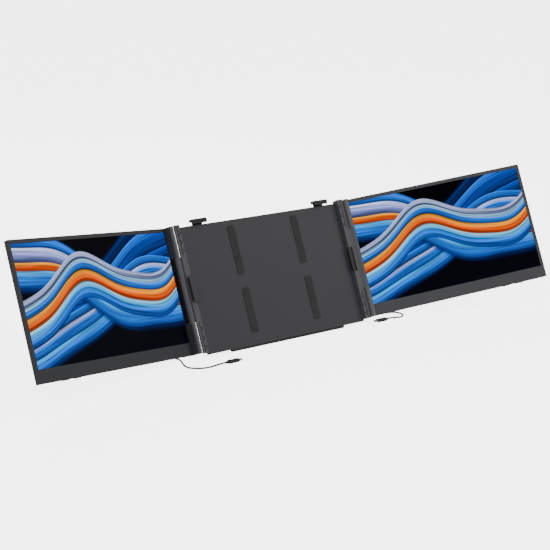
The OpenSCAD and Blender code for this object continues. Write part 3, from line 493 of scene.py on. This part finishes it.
for side in SIDES:
    xs, zs = ((a + PICTURE_INSET, b - PICTURE_INSET) for a, b in (PICTURE_X, PICTURE_Z))
    points = [screen_point(side, xs[i], y, zs[k]) for y in PICTURE_Y for i, k in SQUARE]
    faces, pairs = BOX_FACES, SQUARE
    if side == "left":
        faces = [face[::-1] for face in faces]
        pairs = [(1 - u, v) for u, v in reversed(SQUARE)]
    uvs = pairs + [(0, 0)] * 4 * (len(faces) - 1)
    picture = mesh(side + "_picture", points, faces, None, side + "_screen", uvs)
    picture.data.materials.append(wave_picture(side + " picture"))

# ------------------------------------------------------------------ small pieces of painted shade
# All in millimetres, in the axes of the frame or of a screen.
POST_FACE = {"left": 8.75, "right": 0.9}
KNUCKLES = ((-8.5, 54.0), (159.6, 54.0))
GROOVE_IN, GROOVE_MID, GROOVE_DEPTH, GROOVE_W = 167.0, 171.885, 0.8, 1.0
GROOVE_FOOT, GROOVE_RISE = 1, 4.1
ZIGZAG_Z = (8, 24, 40)
LINE_Y = (-0.3, -0.02)
STRIP_X, STRIP_Z, STRIP_Y = (0.4, 7.2), (46.5, 158.5), (9.74, 9.79)
FRAME_SCREWS = [(158, 10), (158, 62), (158, 142), (158, 198), (100, 4), (100, 128), (48, 198)]
COVER_SCREWS = [(16.1, -2), (108, -2), (188, -2), (345.6, -2)]
FRAME_HEAD_Y, COVER_HEAD_Y = (17.6, 17.63), (17.8, 17.83)
CROSS_ARM, CROSS_W, CROSS_TURN = 1.1, 0.5, 0.4


def on_frame(side):
    """Places on the frame's right half, mirrored for the left one."""
    sign = -1 if side == "left" else 1
    return lambda x, y, z: frame_point(sign * x, y, z)


def on_screen(side):
    """Places on one screen."""
    return lambda x, y, z: screen_point(side, x, y, z)


def groove_lines():
    """Outlines of the lines in a post's face: one upright and three pairs of slants a knuckle."""
    lines = []
    for foot, height in KNUCKLES:
        low = foot + GROOVE_FOOT
        lines.append(bar((GROOVE_MID, low), (GROOVE_MID, foot + height - GROOVE_FOOT), GROOVE_W))
        lines += [bar((GROOVE_IN, low + z), (GROOVE_MID, low + z + rise), GROOVE_W)
                  for z in ZIGZAG_Z for rise in (-GROOVE_RISE, GROOVE_RISE)]
    return lines


def crosses(screws):
    """Outlines of the two strokes of the cross in each screw's head."""
    return [bar((x - CROSS_ARM * math.cos(a), z - CROSS_ARM * math.sin(a)),
                (x + CROSS_ARM * math.cos(a), z + CROSS_ARM * math.sin(a)), CROSS_W)
            for x, z in screws for a in (CROSS_TURN, CROSS_TURN + math.pi / 2)]


for side in SIDES:
    screen = side + "_screen"
    bottom = POST_FACE[side] + GROOVE_DEPTH
    # painted shade: dark sheets on the bottoms of the grooves in the post's face
    plates(side + "_groove_lines", on_frame(side), groove_lines(), bottom + LINE_Y[0],
           bottom + LINE_Y[1], "post_grey", "frame", "groove")
    # painted shade: a near-black satin sheet beside the picture, between the two knuckles, for the
    # shaded hinge recess
    strip = [(STRIP_X[i], STRIP_Z[k]) for i, k in SQUARE]
    plates(side + "_hinge_shade_strip", on_screen(side), [strip], *STRIP_Y, "display", screen, "strip")
    # painted shade: flat near-black crosses on the screw heads stand for the shade in their cross
    # recesses
    plates(side + "_frame_crosses", on_frame(side), crosses(FRAME_SCREWS), *FRAME_HEAD_Y,
           "screw_black", "frame", "groove")
    plates(side + "_cover_crosses", on_screen(side), crosses(COVER_SCREWS), *COVER_HEAD_Y,
           "screw_black", screen, "groove")

# ------------------------------------------------------------------ studio
FLOOR, FLOOR_GLOW, ROOM_GLOW = 80, 4.0, 0.7
# Each light: name, place, what it points at, its width and its power
LIGHTS = [
    ("key", (-1.2, -1.6, 2.2), (0, 0, 0.1), 1.6, 30),
    ("fill", (1.8, -1.2, 1.4), (0, 0, 0.1), 1.6, 14),
    ("rim", (0.3, 1.8, 1.8), (0, 0, 0.15), 1.4, 22),
]

floor_mesh = bpy.data.meshes.new("floor")
floor_mesh.from_pydata([(-FLOOR, -FLOOR, 0), (FLOOR, -FLOOR, 0), (FLOOR, FLOOR, 0),
                        (-FLOOR, FLOOR, 0)], [], [(0, 1, 2, 3)])
floor = bpy.data.objects.new("floor", floor_mesh)
bpy.context.scene.collection.objects.link(floor)
# A white sweep: it is bright in itself, but lights the object no more than the room does
floor.visible_diffuse = False
floor.visible_glossy = False
pale = Nodes("pale floor")
pale.set(Base_Color=(0.9, 0.9, 0.9, 1), Roughness=0.9, Specular_IOR_Level=0.0,
         Emission_Color=(1, 1, 1, 1), Emission_Strength=FLOOR_GLOW)
floor_mesh.materials.append(pale.mat)

world = bpy.data.worlds.new("studio")
bpy.context.scene.world = world
world.use_nodes = True
background = world.node_tree.nodes["Background"]
background.inputs["Color"].default_value = (1, 1, 1, 1)
background.inputs["Strength"].default_value = ROOM_GLOW

for name, place, target, size, power in LIGHTS:
    lamp = bpy.data.lights.new(name, "AREA")
    lamp.size = size
    lamp.energy = power
    light = bpy.data.objects.new(name, lamp)
    bpy.context.scene.collection.objects.link(light)
    light.location = place
    light.rotation_euler = (Vector(target) - Vector(place)).to_track_quat("-Z", "Y").to_euler()
